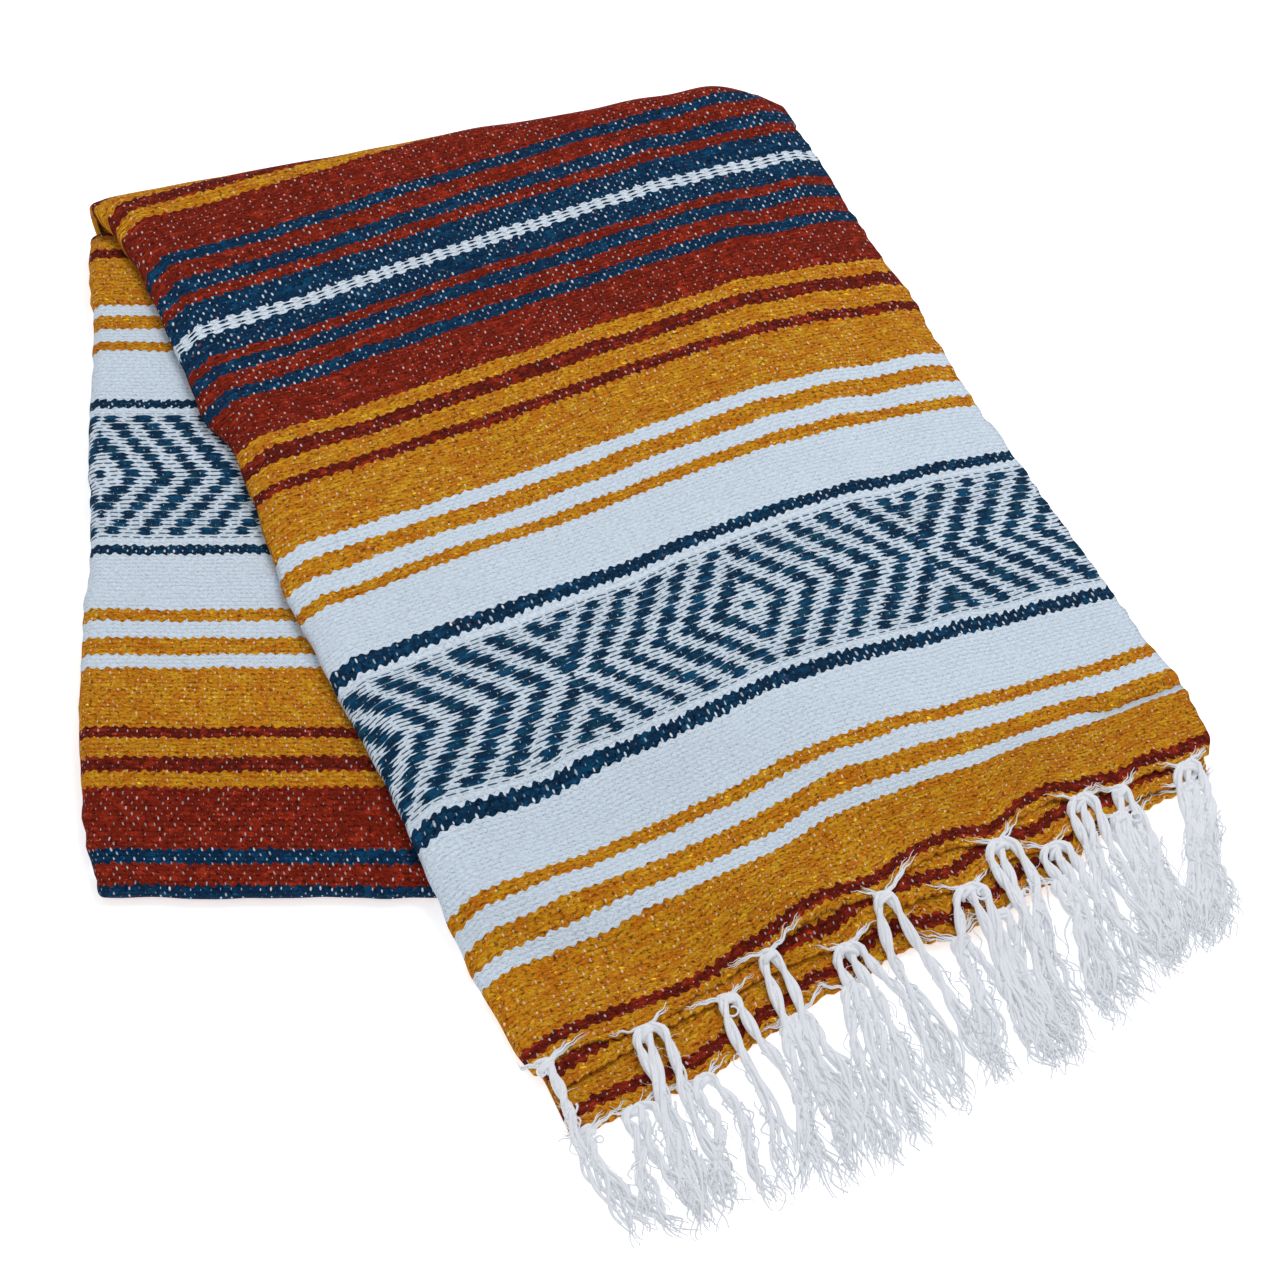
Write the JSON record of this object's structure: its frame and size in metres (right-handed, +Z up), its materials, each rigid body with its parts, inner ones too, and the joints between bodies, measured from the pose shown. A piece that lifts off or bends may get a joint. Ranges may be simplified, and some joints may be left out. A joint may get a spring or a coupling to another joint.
{
  "type": "folded serape blanket",
  "caption": "Striped woven serape blanket, folded into a layered stack with its fringed end turned over the top, lying flat.",
  "frame": {"origin": "centre of the bounding box, on the surface that the blanket lies on", "axes": "+Z up, -Y towards the near fold and the fringe, +X to the right as seen from the fringe; the under leaf's side edges run close to Y and the top leaf is turned 24 degrees from it"},
  "size_m": [0.6507, 0.7725, 0.0482],
  "materials": {
    "blanket": "matt woven, striped mustard, white, maroon, brick red and blue",
    "blanket_under": "matt woven, the same stripes",
    "fringe": "matt twisted off-white cotton"
  },
  "bodies": {
    "root": {"top_leaf_outer": "blanket", "top_leaf_middle": "blanket", "top_leaf_inner": "blanket", "under_leaf_outer": "blanket_under", "hidden_layers": "blanket_under", "fringe_outer": "fringe", "fringe_middle": "fringe", "fringe_inner": "fringe"}
  },
  "joints": []
}
